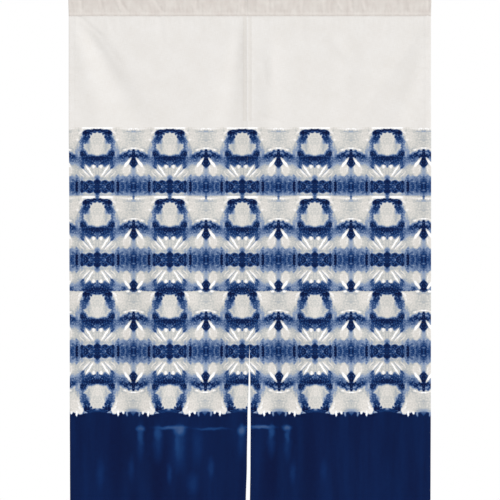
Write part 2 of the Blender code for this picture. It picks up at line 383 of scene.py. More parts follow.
def flat_position(side, x, drop):
    """Where a point lies across the flat cloth, whose edge at the slit is straight."""
    outer, inner = edges_of(side, drop)
    outer_flat, inner_flat = edges_of(side, np.minimum(drop, SLIT_DROP))
    return mix(outer_flat, inner_flat, (x - outer) / (inner - outer))


def sleeve_half_profile():
    """(y, drop) of the sleeve's middle line, from its top fold down its back wall to the lip."""
    radius = SLEEVE_DEPTH / 2 - CLOTH / 2
    lip_y = CLOTH + PIECE_GAP
    centre_drop = SLEEVE_DEPTH / 2
    lip_reach = math.hypot(lip_y, LIP_DROP - centre_drop)
    tangent = math.atan2(lip_y, LIP_DROP - centre_drop) + math.acos(radius / lip_reach)
    points = []
    for angle in np.linspace(math.pi, tangent, SLEEVE_TOP_FACETS + 1):
        points.append((radius * math.sin(angle), centre_drop + radius * math.cos(angle)))
    start = points[-1]
    for share in np.linspace(0.0, 1.0, SLEEVE_WALL_FACETS + 1)[1:]:
        points.append((mix(start[0], lip_y, share), mix(start[1], LIP_DROP, share)))
    for drop in np.linspace(LIP_DROP, HEADING_DROP, LIP_FACETS + 1)[1:]:
        points.append((lip_y, drop))
    return points


def fine_sleeve_creases():
    """Many shallow creases, scattered and leaning either way, as crumpled cotton has."""
    chance = np.random.default_rng(8)
    creases = []
    for spot in np.linspace(-FINE_CREASE_SPAN, FINE_CREASE_SPAN, FINE_CREASES):
        top_x = spot + chance.uniform(-FINE_CREASE_SCATTER, FINE_CREASE_SCATTER)
        lip_x = top_x + chance.uniform(-FINE_CREASE_SLANT, FINE_CREASE_SLANT)
        depth = chance.choice([-1.0, 1.0]) * chance.uniform(*FINE_CREASE_DEPTHS)
        creases.append(SleeveCrease(top_x, lip_x, chance.uniform(*FINE_CREASE_WIDTHS), depth))
    return creases


def sleeve_pressed(creases, x, drop):
    """How far a sleeve wall is pressed in, fading out at the top fold and at the stitching."""
    share = drop / LIP_DROP
    held = ramp(share, CREASE_START, CREASE_FULL)
    total = SLEEVE_PUCKER * pucker(x, 0.0171, 0.0113, 0.0074) * ramp(share, 0.5, 1.0)
    for crease in creases:
        middle = mix(crease.top_x, crease.lip_x, min(share, 1.0))
        fade = 1.0 - CREASE_LOST_AT_LIPS * ramp(share, CREASE_FADE, 1.0)
        total = total + crease.depth * fade * bump(x - middle, crease.width / 2)
    return total * held


def make_heading(side):
    """Half of the rod sleeve: cloth folded over into an upside-down U, open at both ends."""
    half = sleeve_half_profile()
    middle = [(-y, drop) for y, drop in reversed(half)] + half[1:]
    fine = fine_sleeve_creases()
    station = np.linspace(0.0, 1.0, SLEEVE_STATIONS)
    arc = 0.0
    outside = []
    inside = []
    flat = []
    for i, (y, drop) in enumerate(middle):
        before = middle[max(i - 1, 0)]
        after = middle[min(i + 1, len(middle) - 1)]
        run = math.hypot(after[0] - before[0], after[1] - before[1])
        out_y = (after[1] - before[1]) / run
        out_drop = (before[0] - after[0]) / run
        outer, inner = edges_of(side, np.array(drop))
        x = mix(outer, inner, station)
        pressed = sleeve_pressed((FRONT_CREASES if y < 0 else BACK_CREASES) + fine, x, drop)
        rounded = LIP_ROUNDING * ramp(drop, HEADING_DROP - LIP_ROUNDING_REACH, HEADING_DROP)
        for ring, out in ((outside, CLOTH / 2 - pressed - rounded), (inside, -CLOTH / 2 - pressed)):
            ring.append(np.stack([x, y + out_y * out, TOP_EDGE - (drop + out_drop * out)], axis=1))
        arc += math.hypot(y - before[0], drop - before[1])
        flat.append(np.stack([x, np.full_like(x, -arc)], axis=1))
    points = np.array(outside + inside[::-1])
    rows, columns = points.shape[:2]
    closed = np.concatenate([np.arange(rows), [0]])
    index = closed[:, None] * columns + np.arange(columns)
    walls = np.stack([index[:-1, :-1], index[1:, :-1], index[1:, 1:], index[:-1, 1:]], axis=2)
    ends = []
    for i in range(rows // 2 - 1):
        end = np.array([i, i + 1, rows - 2 - i, rows - 1 - i]) * columns
        ends.append(end)
        ends.append((end + columns - 1)[::-1])
    faces = np.concatenate([walls.reshape(-1, 4)[:, ::-1], ends])
    facing = faces[:, ::-1] if side == "left" else faces
    flat = np.array(flat + flat[::-1]).reshape(-1, 2)
    return cloth_mesh(f"heading_{side}_cloth", points.reshape(-1, 3), facing.tolist(), flat)


def model_stitch():
    """One stitch by hand: a six-sided spindle of thread, drawn out along x."""
    bpy.ops.object.select_all(action="DESELECT")
    bpy.ops.mesh.primitive_uv_sphere_add(segments=6, ring_count=4, radius=0.5)
    stitch = bpy.context.object
    bpy.ops.object.mode_set(mode="EDIT")
    bpy.ops.mesh.select_all(action="SELECT")
    bpy.ops.transform.rotate(value=math.pi / 2, orient_axis="Y", center_override=(0.0, 0.0, 0.0))
    bpy.ops.transform.resize(value=(STITCH_LENGTH, THREAD_WIDTH, THREAD_WIDTH))
    bpy.ops.object.mode_set(mode="OBJECT")
    points = np.array([tuple(vertex.co) for vertex in stitch.data.vertices])
    faces = [tuple(face.vertices) for face in stitch.data.polygons]
    bpy.data.objects.remove(stitch, do_unlink=True)
    return points, faces


def sew(name, runs):
    """A joined mesh of stitches along runs of (x, drop, surface, flat x, out), laid on the cloth."""
    shape, shape_faces = model_stitch()
    points = []
    flats = []
    for x, drop, surface, flat_x, out in runs:
        length = np.concatenate([[0.0], np.cumsum(np.hypot(np.diff(x), np.diff(drop)))])
        centres = np.arange(STITCH_PITCH / 2, length[-1], STITCH_PITCH)[:, None]
        at_x, at_drop = (np.interp(centres, length, line) for line in (x, drop))
        on_x, on_drop = (np.interp(centres + AHEAD, length, line) for line in (x, drop))
        off_x, off_drop = (np.interp(centres - AHEAD, length, line) for line in (x, drop))
        run = np.hypot(on_x - off_x, on_drop - off_drop)
        ahead_x, ahead_drop = (on_x - off_x) / run, (on_drop - off_drop) / run
        stitch_x = at_x + ahead_x * shape[:, 0] - ahead_drop * shape[:, 1]
        stitch_drop = at_drop + ahead_drop * shape[:, 0] + ahead_x * shape[:, 1]
        lift = out * (shape[:, 2] + THREAD_WIDTH * THREAD_LIFT)
        y = surface(at_x + 0 * stitch_x, at_drop + 0 * stitch_x) + lift
        points.append(np.stack([stitch_x, y, TOP_EDGE - stitch_drop], axis=2).reshape(-1, 3))
        flats.append(np.stack([flat_x(stitch_x, stitch_drop), -stitch_drop], axis=2).reshape(-1, 2))
    points = np.concatenate(points)
    faces = []
    for start in range(0, len(points), len(shape)):
        faces += [[start + corner for corner in face] for face in shape_faces]
    made = cloth_mesh(name, points, faces, np.concatenate(flats))
    bpy.ops.object.select_all(action="DESELECT")
    made.select_set(True)
    bpy.context.view_layer.objects.active = made
    bpy.ops.object.mode_set(mode="EDIT")
    bpy.ops.mesh.select_all(action="SELECT")
    bpy.ops.mesh.normals_make_consistent(inside=False)
    bpy.ops.object.mode_set(mode="OBJECT")
    return made


def panel_face(side, which):
    """The y of one panel face as a function of x and drop."""
    return lambda x, drop: panel_surface(side, x, drop)[which]


def panel_stitches(side):
    """Rows of stitches down both hems and along the foot, seen on the front and on the back."""
    way = 1.0 if side == "left" else -1.0
    drop = np.linspace(HEADING_DROP + 0.003, FOOT_DROP - 0.003, 200)
    outer, inner = edges_of(side, drop)
    side_line = outer + way * (SIDE_HEM - STITCH_FROM_EDGE)
    inner_line = inner - way * (INNER_HEM - STITCH_FROM_EDGE)
    foot_drop = np.full(80, FOOT_DROP - FOOT_HEM + STITCH_FROM_EDGE)
    foot_outer, foot_inner = edges_of(side, foot_drop)
    foot_x = mix(foot_outer + way * SEWN_SHORT, foot_inner - way * SEWN_SHORT, np.linspace(0.0, 1.0, 80))
    runs = []
    for which, out in ((0, -1.0), (1, 1.0)):
        surface = panel_face(side, which)
        for x, down in ((side_line, drop), (inner_line, drop), (foot_x, foot_drop)):
            runs.append((x, down, surface, lambda x, drop: flat_position(side, x, drop), out))
    return sew(f"panel_{side}_stitches", runs)


def lip_face(out):
    """The y of a lip's outer face as a function of x and drop."""
    return lambda x, drop: np.full_like(x, out * (CLOTH * 1.5 + PIECE_GAP))


def heading_stitches(side):
    """The row that closes the sleeve over the panel's top edge, on its front and back lips."""
    drop = np.full(40, HEADING_STITCH_DROP)
    outer, inner = edges_of(side, drop)
    way = 1.0 if side == "left" else -1.0
    x = mix(outer + way * SEWN_SHORT, inner - way * SEWN_SHORT, np.linspace(0.0, 1.0, 40))
    runs = []
    for out in (-1.0, 1.0):
        runs.append((x, drop, lip_face(out), lambda x, drop: x, out))
    return sew(f"heading_{side}_stitches", runs)


# Materials

# Dye depths run from 0, the white of a tight resist, to 1, the darkest indigo.
# The print is charted on half of one repeat, in millimetres: across, from the middle of a ring
# to the middle of the figure beside it, and up, from the middle of the dark band to the ring's
# top. It is mirrored left and right about both middles, and up and down about the band.
RING_AXIS = -359.0
HALF_REPEAT = 85.2
BAND_MIDDLES = [451.2, 623.0, 838.4]
ROW_ENDS = [472.0, 696.3]
ROW_LINE_CREEP = 7.0
FIRST_ROW_SCALE = 0.94
PRINT_TOP = 311.5
PRINT_FOOT = 982.2

# A stroke of dye or resist: an ellipse. Soft is the share of its radius over which it fades,
# cover how solid it is, and lean how many degrees its top leans away from the ring's middle.
Stroke = namedtuple("Stroke", "across up half_width half_height soft dye cover lean", defaults=(1.0, 0))
FIGURE = HALF_REPEAT

PRINT_STROKES = [
    # washes that fade into the ground between the columns
    Stroke(49, 70, 15, 18, 0.8, 0.57, 0.90),
    Stroke(43, 98, 7.5, 13, 0.8, 0.42, 0.85),
    Stroke(47, 51, 11, 10, 0.8, 0.38, 0.80),
    Stroke(50, 38, 9, 15, 0.7, 0.23, 0.80),
    Stroke(FIGURE - 26, 69, 14, 9.5, 0.7, 0.62, 0.92),
    # field of the dark band, fading up and down
    Stroke(FIGURE, 20, 40, 10.5, 0.6, 0.56, 0.92),
    Stroke(FIGURE - 26, 0, 16, 18.0, 0.2, 0.74),
    Stroke(FIGURE, 0, 33, 18.0, 0.2, 0.74),
    Stroke(FIGURE - 12, 12, 26, 7, 0.5, 0.62, 0.9),
    Stroke(FIGURE - 30, 7, 3.2, 4.5, 0.6, 0.82, 0.8, lean=30),
    Stroke(FIGURE - 23, 0, 3.0, 6.0, 0.6, 0.84, 0.7),
    Stroke(FIGURE - 16, 9, 2.0, 6.0, 0.6, 0.84, 0.8, lean=30),
    Stroke(FIGURE - 19, 0, 1.6, 9.0, 0.6, 0.56, 0.8),
    Stroke(FIGURE, 0, 13.5, 13.5, 0.2, 0.78),
    Stroke(FIGURE, 0, 10.5, 11.0, 0.3, 0.66, 0.9),
    Stroke(FIGURE, 0, 8.5, 15.0, 0.35, 0.88),
    Stroke(FIGURE, 0, 4.0, 11.0, 0.5, 0.96, 0.9),
    Stroke(FIGURE - 23, 18, 2.2, 5.0, 0.8, 0.46, 0.8),
    Stroke(FIGURE - 10, 18, 3.0, 5.0, 0.8, 0.44, 0.8),
    Stroke(FIGURE, 14, 3.0, 17.5, 0.4, 0.72),
    # pale leaves either side of the spade
    Stroke(FIGURE, 39, 6.5, 13.0, 0.6, 0.36, 0.9),
    Stroke(FIGURE - 15, 80, 7.5, 18.0, 0.3, 0.78, lean=68),
    Stroke(FIGURE - 29, 42, 8.0, 13.0, 0.8, 0.17, 0.7),
    Stroke(FIGURE - 16.5, 42, 8.6, 15.5, 0.25, 0.11, lean=6),
    # spade, stem and head
    Stroke(FIGURE, 50.5, 4.2, 4.5, 0.5, 0.70),
    Stroke(FIGURE, 54.5, 7.6, 5.5, 0.25, 0.88),
    Stroke(FIGURE, 59, 10.6, 6.0, 0.2, 0.95),
    Stroke(FIGURE, 64, 7.5, 6.5, 0.2, 0.97),
    Stroke(FIGURE, 72, 5.2, 13.0, 0.3, 0.98),
    Stroke(FIGURE - 14.8, 59.5, 3.1, 12.8, 0.35, 0.00, lean=37),
    Stroke(FIGURE - 24.6, 42, 1.6, 8.5, 0.7, 0.05, 0.7, lean=4),
    Stroke(FIGURE - 9.4, 43, 1.8, 10.0, 0.5, 0.05, 0.8, lean=12),
    Stroke(FIGURE - 17, 29, 5.5, 1.8, 0.8, 0.05, 0.5),
    # drooping arms under the roof
    Stroke(FIGURE - 7, 76, 2.8, 8.5, 0.3, 0.97, lean=57),
    Stroke(FIGURE - 20.5, 78.5, 4.2, 10.5, 0.5, 0.90, lean=62),
    Stroke(FIGURE - 26.5, 75.5, 6.6, 5.4, 0.5, 0.84, 0.95),
    Stroke(FIGURE - 8.5, 84.5, 2.0, 4.5, 0.6, 0.44, 0.9, lean=60),
    Stroke(FIGURE - 25.5, 83.5, 2.6, 3.6, 0.6, 0.50, 0.8, lean=40),
    Stroke(FIGURE - 15.5, 73.0, 1.8, 5.0, 0.6, 0.58, 0.8, lean=70),
    Stroke(FIGURE - 18.5, 87.0, 2.4, 2.4, 0.6, 0.40, 0.8, lean=40),
    Stroke(FIGURE, 88, 3.8, 5.4, 0.3, 1.00),
    Stroke(FIGURE - 10.6, 89.5, 2.9, 2.4, 0.5, 0.74, 0.9),
    # white over the roof, and the grey bracket of the ground above
    Stroke(FIGURE - 2, 96.3, 10, 1.9, 0.4, 0.01),
    Stroke(FIGURE - 19, 92.5, 2.2, 6.5, 0.6, 0.05, 0.9, lean=74),
    Stroke(FIGURE - 30, 86, 2.6, 3.5, 0.8, 0.14, 0.7, lean=42),
    Stroke(FIGURE, 147, 44, 4.5, 0.7, 0.065, 0.9),
    Stroke(FIGURE - 8, 120, 18, 14, 0.8, 0.18, 0.6),
    Stroke(FIGURE, 120, 4.5, 5.6, 0.9, 0.27, 0.7),
    Stroke(FIGURE, 138.0, 22, 1.7, 0.5, 0.31, 0.95),
    Stroke(FIGURE - 21, 136.0, 3.4, 2.6, 0.7, 0.28, 0.8),
    Stroke(FIGURE, 144.6, 27, 2.4, 0.5, 0.03, 0.8),
    # cap of the ring
    Stroke(21, 147.2, 19, 2.8, 0.35, 0.00),
    Stroke(0, 147.4, 14, 2.6, 0.35, 0.01),
    Stroke(38.5, 138, 3.0, 9.0, 0.5, 0.04, 0.9, lean=-34),
    Stroke(0, 139.2, 27, 4.8, 0.2, 0.98),
    Stroke(21, 132, 14, 10.5, 0.2, 0.95),
    Stroke(28.5, 134.5, 5.5, 5.5, 0.4, 1.00),
    # dark band under the ring
    Stroke(0, 62, 38.5, 10.0, 0.3, 0.76),
    Stroke(0, 71, 38, 11.5, 0.2, 0.86),
    Stroke(32, 80, 8.0, 11.0, 0.5, 0.90),
    Stroke(35.5, 85, 5.0, 8.0, 0.7, 1.00, 0.8),
    Stroke(0, 71, 24, 4.5, 0.6, 0.98, 0.7),
    Stroke(34.5, 59, 6.5, 8.0, 0.8, 0.76, 0.9, lean=20),
    Stroke(0, 60, 7, 3.0, 0.7, 0.58, 0.7),
    # cream ground beside the ring's shoulder
    Stroke(54, 122, 11, 20, 0.7, 0.11, 0.8),
    # the pale round inside the ring
    Stroke(0, 103, 27, 20.5, 0.16, 0.31),
    Stroke(0, 98.5, 17.5, 20.5, 0.25, 0.125),
    Stroke(0, 119.5, 17.2, 15.6, 0.12, 0.16),
    Stroke(0, 81, 15, 3.4, 0.8, 0.11, 0.7),
    Stroke(20.0, 101, 2.4, 6.0, 0.8, 0.24, 0.7, lean=6),
    Stroke(24.5, 99, 2.0, 7.5, 0.8, 0.20, 0.75, lean=4),
    Stroke(6.5, 104, 1.2, 15.0, 0.8, 0.22, 0.7, lean=10),
    Stroke(12.5, 96, 1.2, 11.0, 0.8, 0.23, 0.7, lean=22),
    Stroke(3.0, 96, 1.6, 12.0, 0.8, 0.11, 0.7, lean=4),
    Stroke(13.5, 114, 2.0, 6.0, 0.8, 0.10, 0.7, lean=20),
    Stroke(0, 133.5, 2.8, 4.4, 0.5, 0.10, 0.9),
    Stroke(9.4, 131.5, 2.8, 4.6, 0.5, 0.10, 0.9, lean=12),
    Stroke(15.0, 126.5, 2.4, 4.6, 0.5, 0.14, 0.9, lean=30),
    Stroke(4.8, 137.0, 1.5, 3.4, 0.5, 0.66, 0.8, lean=4),
    Stroke(13.6, 133.5, 1.4, 3.6, 0.5, 0.80, 0.8, lean=24),
    # broken strokes down the ring's sides
    Stroke(27, 120.5, 7.0, 11.5, 0.4, 0.85, lean=-40),
    Stroke(27.5, 112, 5.5, 5.0, 0.45, 0.76, 0.95, lean=-35),
    Stroke(35.5, 116, 4.6, 10.0, 0.6, 0.74, lean=-16),
    Stroke(34.5, 103, 3.2, 7.0, 0.7, 0.72, 0.9),
    Stroke(35.5, 94, 3.8, 5.5, 0.8, 0.60, 0.85),
    Stroke(36.5, 125.5, 3.2, 2.6, 0.6, 0.38, 0.85, lean=20),
    Stroke(30.5, 115.5, 2.4, 1.8, 0.6, 0.52, 0.8),
    Stroke(37.5, 109.5, 2.0, 1.8, 0.7, 0.34, 0.8),
    Stroke(38, 119, 1.8, 2.2, 0.6, 0.50, 0.8),
    Stroke(24, 125, 2.2, 2.0, 0.6, 0.72, 0.8),
    Stroke(31, 128.5, 1.8, 2.2, 0.6, 0.66, 0.8),
    Stroke(41.0, 112, 2.6, 3.4, 0.6, 0.60, 0.8, lean=-20),
    Stroke(43.5, 104, 1.6, 7.0, 0.7, 0.20, 0.8, lean=-8),
    Stroke(47.0, 118, 3.4, 4.6, 0.7, 0.04, 0.85),
    Stroke(44.0, 80, 2.4, 6.0, 0.8, 0.28, 0.8),
    # fan of petals
    Stroke(0, 37, 40.5, 15.5, 0.16, 0.19),
    Stroke(0, 27, 34, 12.0, 0.4, 0.16, 0.9),
    Stroke(0, 52.5, 2.6, 5, 0.5, 0.70, 0.9),
    Stroke(18.5, 54.5, 4.0, 5.5, 0.5, 0.74, 0.9, lean=16),
    Stroke(35.5, 50, 3.0, 7.0, 0.4, 0.76, 0.9, lean=38),
    Stroke(23.5, 34.5, 1.1, 13.5, 0.6, 0.40, 0.9, lean=43),
    Stroke(11.5, 41, 0.9, 9.0, 0.7, 0.28, 0.7, lean=26),
    Stroke(3.2, 38, 0.9, 9.0, 0.7, 0.27, 0.7),
    Stroke(32, 29, 1.0, 11.0, 0.7, 0.28, 0.8, lean=47),
    Stroke(18.8, 40.5, 2.2, 18.0, 0.3, 0.00, lean=33),
    Stroke(26.3, 33.6, 2.2, 14.5, 0.35, 0.05, lean=43),
    Stroke(37.5, 31, 1.5, 10.0, 0.5, 0.08, 0.8, lean=40),
    Stroke(8.9, 50.3, 3.8, 4.4, 0.4, 0.02),
    Stroke(0, 20.0, 5.6, 8.0, 0.7, 0.66),
    # dark band, and its teeth
    Stroke(45, 0, 9, 17.5, 0.3, 0.62),
    Stroke(0, 0, 41, 16.5, 0.08, 0.84),
    Stroke(27, 0, 13, 14.5, 0.15, 0.86),
    Stroke(36, 9.0, 3.8, 8.0, 0.3, 0.96),
    Stroke(18.5, 9.0, 6.0, 8.0, 0.35, 0.92, lean=14),
    Stroke(0, 8.5, 6.0, 9.0, 0.3, 0.98),
    Stroke(36, 21.5, 9, 4.0, 0.8, 0.33, 0.8),
    Stroke(14, 20.5, 8, 3.0, 0.8, 0.30, 0.7),
    Stroke(27.8, 18.0, 3.0, 5.6, 0.45, 0.25),
    Stroke(10.2, 18.2, 3.2, 5.2, 0.45, 0.28),
    Stroke(29, 3, 7.5, 6.5, 0.5, 0.96, 0.8),
    Stroke(16.8, 0, 4.0, 3.8, 0.8, 0.58, 0.9),
    Stroke(8.6, 8.0, 2.0, 4.0, 0.6, 0.74, 0.8, lean=40),
    Stroke(0, 0, 4.2, 3.0, 0.6, 0.90, 0.8),
    Stroke(43.1, 0, 1.4, 16, 0.6, 0.56, 0.9),
    Stroke(35, 0, 4.6, 5.5, 0.8, 0.70, 0.8),
    Stroke(24, 7.5, 1.5, 7.5, 0.8, 0.70, 0.8, lean=62),
    Stroke(48.2, 0, 3.0, 19, 0.3, 0.98),
    Stroke(48.2, 22, 2.6, 7, 0.7, 0.62, 0.8),
]

# What only the third row has: cream ground that runs out in flames at the ring's sides
THIRD_ROW = [
    Stroke(53, 128, 13, 16, 0.5, 0.115, 0.9),
    Stroke(40.0, 134.0, 3.2, 8.0, 0.5, 0.04, 0.95, lean=-26),
    Stroke(43.0, 124.0, 2.2, 6.0, 0.4, 0.05, 0.9, lean=-35),
    Stroke(44.0, 112.0, 1.8, 6.0, 0.5, 0.10, 0.8, lean=-30),
    Stroke(30.5, 106.5, 6.0, 7.0, 0.5, 0.72, 0.9, lean=-20),
    Stroke(38.0, 117.0, 3.0, 4.0, 0.5, 0.66, 0.9, lean=25),
    Stroke(34.0, 123.5, 2.6, 1.8, 0.5, 0.32, 0.9, lean=20),
    Stroke(24.0, 136.0, 5.0, 8.0, 0.5, 0.98, 0.8, lean=-30),
]

# What crosses the line where the second row starts, up from that line
SECOND_ROW_SEAM = [
    Stroke(FIGURE, 1, 34, 4.5, 0.8, 0.38, 0.7),
    Stroke(0, -2.5, 4.6, 7.5, 0.5, 0.66, 0.9),
    Stroke(FIGURE, -2, 2.6, 8.0, 0.5, 0.62, 0.9),
    Stroke(19, -4.5, 11, 2.0, 0.4, 0.00),
]

# The same where the third row starts
THIRD_ROW_SEAM = [
    Stroke(48, 6, 16, 6, 0.8, 0.44, 0.8),
    Stroke(0, 2, 34, 6, 0.4, 0.93, 0.97),
    Stroke(0, -3.5, 14, 5, 0.6, 0.86, 0.95),
    Stroke(FIGURE - 24, 5.0, 5, 4, 0.6, 0.80, 0.9),
    Stroke(FIGURE, -1.5, 12, 4.0, 0.8, 0.24, 0.8),
    Stroke(FIGURE - 12, -6.5, 5, 1.6, 0.6, 0.32, 0.8, lean=20),
    Stroke(FIGURE, 2.5, 9, 4.4, 0.3, 0.97),
    Stroke(FIGURE - 14, -1.0, 4.2, 3.2, 0.4, 0.01),
]

# The splashed edge where the last row runs into the solid indigo: up is above that edge
SPLASH = [
    Stroke(0, 4.0, 24, 3.0, 0.6, 0.80, 0.8),
    Stroke(0, 7.5, 5.0, 2.6, 0.7, 0.46, 0.7),
    Stroke(FIGURE, 5.0, 13, 5.0, 0.8, 0.34, 0.9),
    Stroke(FIGURE, 0.0, 16, 3.0, 0.7, 0.62, 0.8),
    Stroke(48, 3.0, 14, 4.5, 0.4, 0.07),
    Stroke(37.0, 4.0, 3.4, 9.0, 0.45, 0.05, lean=-24),
    Stroke(42.0, -7.0, 13, 2.6, 0.8, 1.00, 0.8),
    Stroke(28.5, -0.2, 5.5, 1.6, 0.5, 0.30, 0.9),
    Stroke(38.5, -0.5, 4.2, 4.2, 0.5, 0.05),
    Stroke(43.5, -1.0, 2.2, 3.5, 0.4, 0.05),
    Stroke(49.0, -2.6, 2.7, 7.0, 0.35, 0.00),
    Stroke(61.5, -0.5, 3.0, 4.0, 0.4, 0.02, lean=-20),
    Stroke(56.0, -4.5, 2.8, 4.4, 0.4, 1.00, 0.95),
    Stroke(70.0, -3.5, 2.3, 5.5, 0.6, 0.34, 0.9, lean=-12),
    Stroke(FIGURE - 8.3, -4.0, 4.0, 4.5, 0.5, 0.93, 0.95),
    Stroke(FIGURE, -2.5, 2.4, 4.0, 0.7, 0.66, 0.8),
]

# Painted shade: darker streaks down the solid indigo where its long folds hang, placed across the curtain
# and down it
PAINTED_FOLD_SHADE_STREAKS = [
    Stroke(-313, 1090, 20, 120, 0.7, 0.97, 0.9),
    Stroke(-214, 1130, 19, 90, 0.7, 0.98, 0.9),
    Stroke(-83, 1060, 24, 60, 0.7, 0.94, 0.9),
    Stroke(46, 1120, 17, 90, 0.7, 0.98, 0.9),
    Stroke(141, 1080, 18, 120, 0.7, 0.97, 0.9),
]
# Bleed marks and pale patches of the solid indigo: across the curtain and down it
INDIGO_MARKS = [
    Stroke(-256, 1050, 7, 34, 0.8, 0.83, 0.8),
    Stroke(-214, 1052, 10, 36, 0.8, 0.83, 0.8),
    Stroke(-163, 1066, 12, 40, 0.8, 0.80, 0.8),
    Stroke(-120, 1060, 10, 34, 0.8, 0.85, 0.8),
    Stroke(-15, 1050, 9, 30, 0.8, 0.83, 0.8),
    Stroke(48, 1050, 8, 30, 0.8, 0.83, 0.8),
    Stroke(86, 1056, 8, 34, 0.8, 0.83, 0.8),
    Stroke(-256, 1020, 9, 6.3, 0.8, 0.64, 0.9),
    Stroke(-256, 1036, 6, 14.4, 0.8, 0.76, 0.9),
    Stroke(-183, 1017, 32, 3.6, 0.8, 0.67, 0.9),
    Stroke(-214, 1030, 8, 14.4, 0.8, 0.75, 0.9),
    Stroke(-163, 1024, 13, 10.8, 0.8, 0.62, 0.9),
    Stroke(-168, 1054, 5, 25.2, 0.8, 0.77, 0.9),
    Stroke(-88, 1021, 34, 3.15, 0.8, 0.75, 0.9),
    Stroke(-15, 1024, 8, 10.8, 0.8, 0.61, 0.9),
    Stroke(25, 1016, 28, 4.2, 0.7, 0.62, 0.9),
    Stroke(48, 1027, 6, 12.6, 0.8, 0.73, 0.9),
    Stroke(85, 1018, 9, 5.8, 0.8, 0.61, 0.9),
    Stroke(86, 1036, 5, 12.6, 0.8, 0.75, 0.9),
    Stroke(-352, 1128, 8, 30, 0.8, 0.86, 0.9),
    Stroke(-278, 1114, 6, 24, 0.8, 0.86, 0.9),
    Stroke(-186, 1126, 5, 20, 0.7, 0.84, 0.9),
    Stroke(-130, 1150, 12, 22, 0.7, 0.85, 0.9),
    Stroke(-87, 1114, 7, 22, 0.7, 0.84, 0.9),
    Stroke(99, 1124, 7, 22, 0.8, 0.85, 0.9),
    Stroke(172, 1120, 7, 22, 0.8, 0.87, 0.9),
]

# The undyed cloth over the open seam, with painted shade and a painted highlight: greyer bands either side
# are painted shade, beside the seam's ridge and where its allowances double the cloth, and a lighter line
# along the seam is a painted highlight where its edge catches the light
SEAM_PAINTED_SHADE_AND_HIGHLIGHT = [
    Stroke(-11.6, 180, 5.0, 420, 0.22, 0.098, 0.75),
    Stroke(-0.9, 180, 4.6, 420, 0.22, 0.092, 0.70),
    Stroke(-6.1, 180, 1.3, 420, 0.5, 0.050, 0.8),
]

# The colour of each depth of dye on this cotton
DYE_RAMP = [
    (0.00, "#f6f6f7"),
    (0.05, "#dddbd9"),
    (0.10, "#d1cdc8"),
    (0.17, "#bfbfbc"),
    (0.24, "#abaeaf"),
    (0.34, "#8897af"),
    (0.45, "#6f82a3"),
    (0.60, "#415981"),
    (0.75, "#14396d"),
    (0.88, "#031f4e"),
    (1.00, "#000930"),
]
GROUND_DYE = (0.115, 0.235)
MOTTLE = 0.18
PALE_MOTTLE = 0.09
FLECK = 0.34
INDIGO_STREAK = 0.022
SOLID_INDIGO_DYE = 0.935
UNDYED_DYE = 0.070
STROKES_HELD_AT_ONCE = 20
PRINT_MARGIN = 14.0
# The sleeve's undyed cotton, greyer than the panel's: painted shade for the light that its doubled cloth
# keeps from coming through
SLEEVE_COLOURS_WITH_PAINTED_SHADE = [(0.35, "#cbc4bf"), (0.85, "#d5d0cb")]
THREAD_COLOURS = [(0.0, "#bfbab4"), (1.0, "#d7d2cc")]

# How far the weave's threads lie apart. Real ones lie about 0.45 mm apart, too fine for the render.
WEAVE_SPACING = 0.0011
SLUB_DYE = 0.035


def linear(colour):
    """An sRGB hex colour as the linear RGBA that a shader takes."""
    channels = []
    for i in (1, 3, 5):
        value = int(colour[i:i + 2], 16) / 255
        channels.append(value / 12.92 if value <= 0.04045 else ((value + 0.055) / 1.055) ** 2.4)
    return (*channels, 1.0)


def add(tree, kind, inputs, **settings):
    """Adds a shader node with its settings. Each input is a fixed value or the socket that feeds it."""
    node = tree.nodes.new("ShaderNode" + kind)
    for name, value in settings.items():
        setattr(node, name, value)
    for socket, value in inputs.items():
        if isinstance(value, bpy.types.NodeSocket):
            tree.links.new(value, node.inputs[socket])
        else:
            node.inputs[socket].default_value = value
    return node


def reckon(tree, operation, *terms):
    """A sum of numbers and sockets, worked out by one node."""
    return add(tree, "Math", dict(enumerate(terms)), operation=operation).outputs[0]


def reckon_spot(tree, operation, *terms):
    """The same for places."""
    return add(tree, "VectorMath", dict(enumerate(terms)), operation=operation).outputs["Vector"]


def spread(tree, value, start, end, low, high, **settings):
    """Turns a value's stretch from start to end into one from low to high."""
    inputs = {"Value": value, "From Min": start, "From Max": end, "To Min": low, "To Max": high}
    return add(tree, "MapRange", inputs, **settings).outputs["Result"]


def noise(tree, spot, scale, detail, **more):
    """Flat noise round a spot, as a grey and a coloured output."""
    inputs = {"Vector": spot, "Scale": scale, "Detail": detail, **more}
    return add(tree, "TexNoise", inputs, noise_dimensions="2D").outputs


def chart_spot(tree, across, up):
    return add(tree, "CombineXYZ", {"X": across, "Y": up}).outputs[0]


def choose(tree, mask, without, with_it):
    """One dye depth where the mask is 0 and another where it is 1."""
    inputs = {"Factor": mask, "A": without, "B": with_it}
    return add(tree, "Mix", inputs, data_type="FLOAT").outputs["Result"]


def new_material(name):
    """A material with an empty Principled shader, its tree and that shader."""
    material = bpy.data.materials.new(name)
    material.use_nodes = True
    return material, material.node_tree, material.node_tree.nodes["Principled BSDF"]


def paint(tree, spot, dye, strokes):
    """Lays strokes over a dye depth in turn, each an ellipse round its place on the chart."""
    for number, stroke in enumerate(strokes):
        if number % STROKES_HELD_AT_ONCE == 0:
            # The spot stays the same but waits for the dye so far, as the shader's memory
            # can't hold every stroke's own spot at once
            spot = reckon_spot(tree, "MULTIPLY_ADD", dye, (0.0, 0.0, 0.0), spot)
        local = add(tree, "Mapping", {
            "Vector": spot,
            "Location": (stroke.across, stroke.up, 0.0),
            "Rotation": (0.0, 0.0, -math.radians(stroke.lean)),
            "Scale": (stroke.half_width, stroke.half_height, 1.0),
        }, vector_type="TEXTURE")
        away = add(tree, "VectorMath", {0: local.outputs["Vector"]}, operation="LENGTH").outputs["Value"]
        mask = spread(tree, away, 1.0 + stroke.soft, 1.0 - stroke.soft, 0.0, stroke.cover,
                      interpolation_type="SMOOTHSTEP")
        dye = choose(tree, mask, dye, stroke.dye)
    return dye


